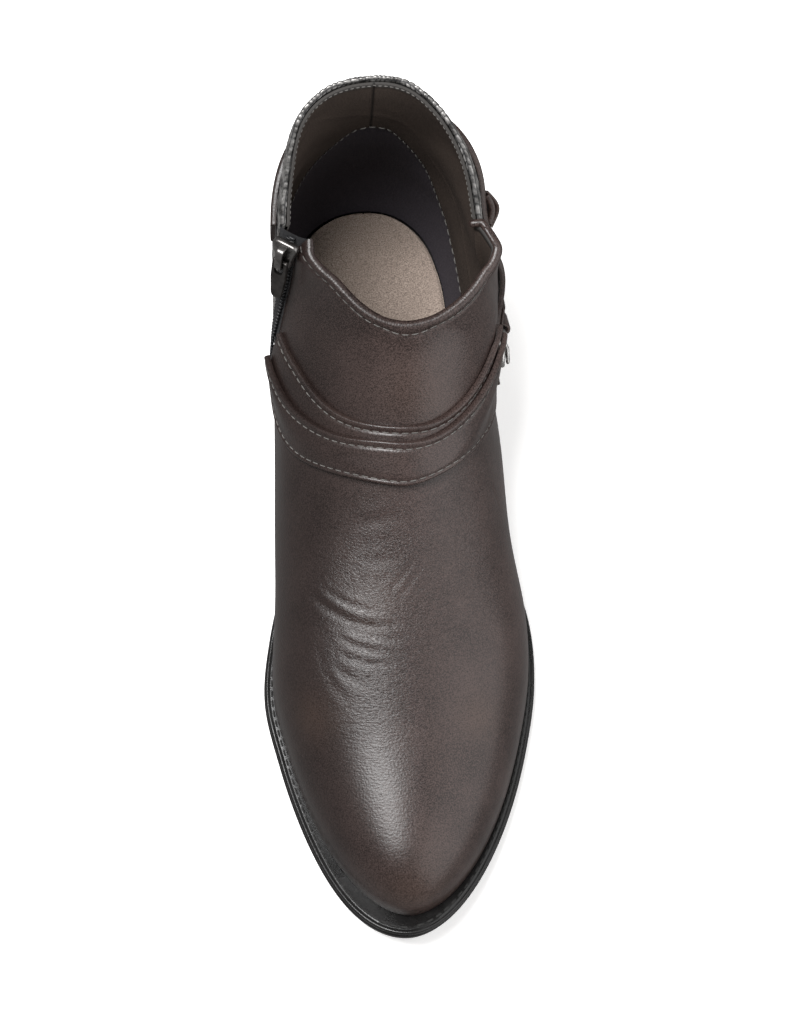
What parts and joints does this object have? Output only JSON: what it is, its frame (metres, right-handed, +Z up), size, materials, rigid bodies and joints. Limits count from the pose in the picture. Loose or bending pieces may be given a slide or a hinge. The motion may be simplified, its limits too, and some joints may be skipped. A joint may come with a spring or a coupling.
{
  "type": "flat ankle boot",
  "caption": "Low-heeled leather ankle boot with a side zip, crossed instep straps, a buckled strap round the shaft and a rubber sole, left foot.",
  "frame": {"origin": "on the floor, under the centre of the box round the boot", "axes": "+Z up, +Y from toe to heel, +X towards the outer side of the left foot"},
  "size_m": [0.0936, 0.265, 0.1435],
  "materials": {
    "upper_leather": "semi-gloss, fine pebble grain",
    "strap_leather": "semi-gloss, folded edges",
    "quarter_leather": "metallic, crocodile embossed",
    "lining_textile": "matt weave",
    "insole_textile": "matt, speckled",
    "sole_rubber": "matt black",
    "hardware_metal": "gunmetal",
    "zip_textile": "matt weave",
    "zip_plastic": "satin",
    "thread": "matt"
  },
  "bodies": {
    "boot": {"outsole": "sole_rubber", "welt": "sole_rubber", "heel": "sole_rubber", "insole": "insole_textile", "upper": "upper_leather", "strap_upper": "strap_leather", "strap_lower": "strap_leather", "strap_back": "strap_leather", "strap_keeper": "strap_leather", "buckle_loop": "strap_leather", "buckle_frame": "hardware_metal", "buckle_prong": "hardware_metal", "zip_slider": "hardware_metal", "zip_tape": "zip_textile", "zip_teeth": "zip_plastic"},
    "pull_tab": {"zip_pull": "hardware_metal"}
  },
  "joints": [
    {"name": "zip_pull_hinge", "type": "hinge", "parent": "boot", "child": "pull_tab", "pos_m": [-0.03506, 0.07605, 0.10639], "axis": [-0.82, 0.5611, -0.1128], "range_deg": [0, 135]}
  ]
}
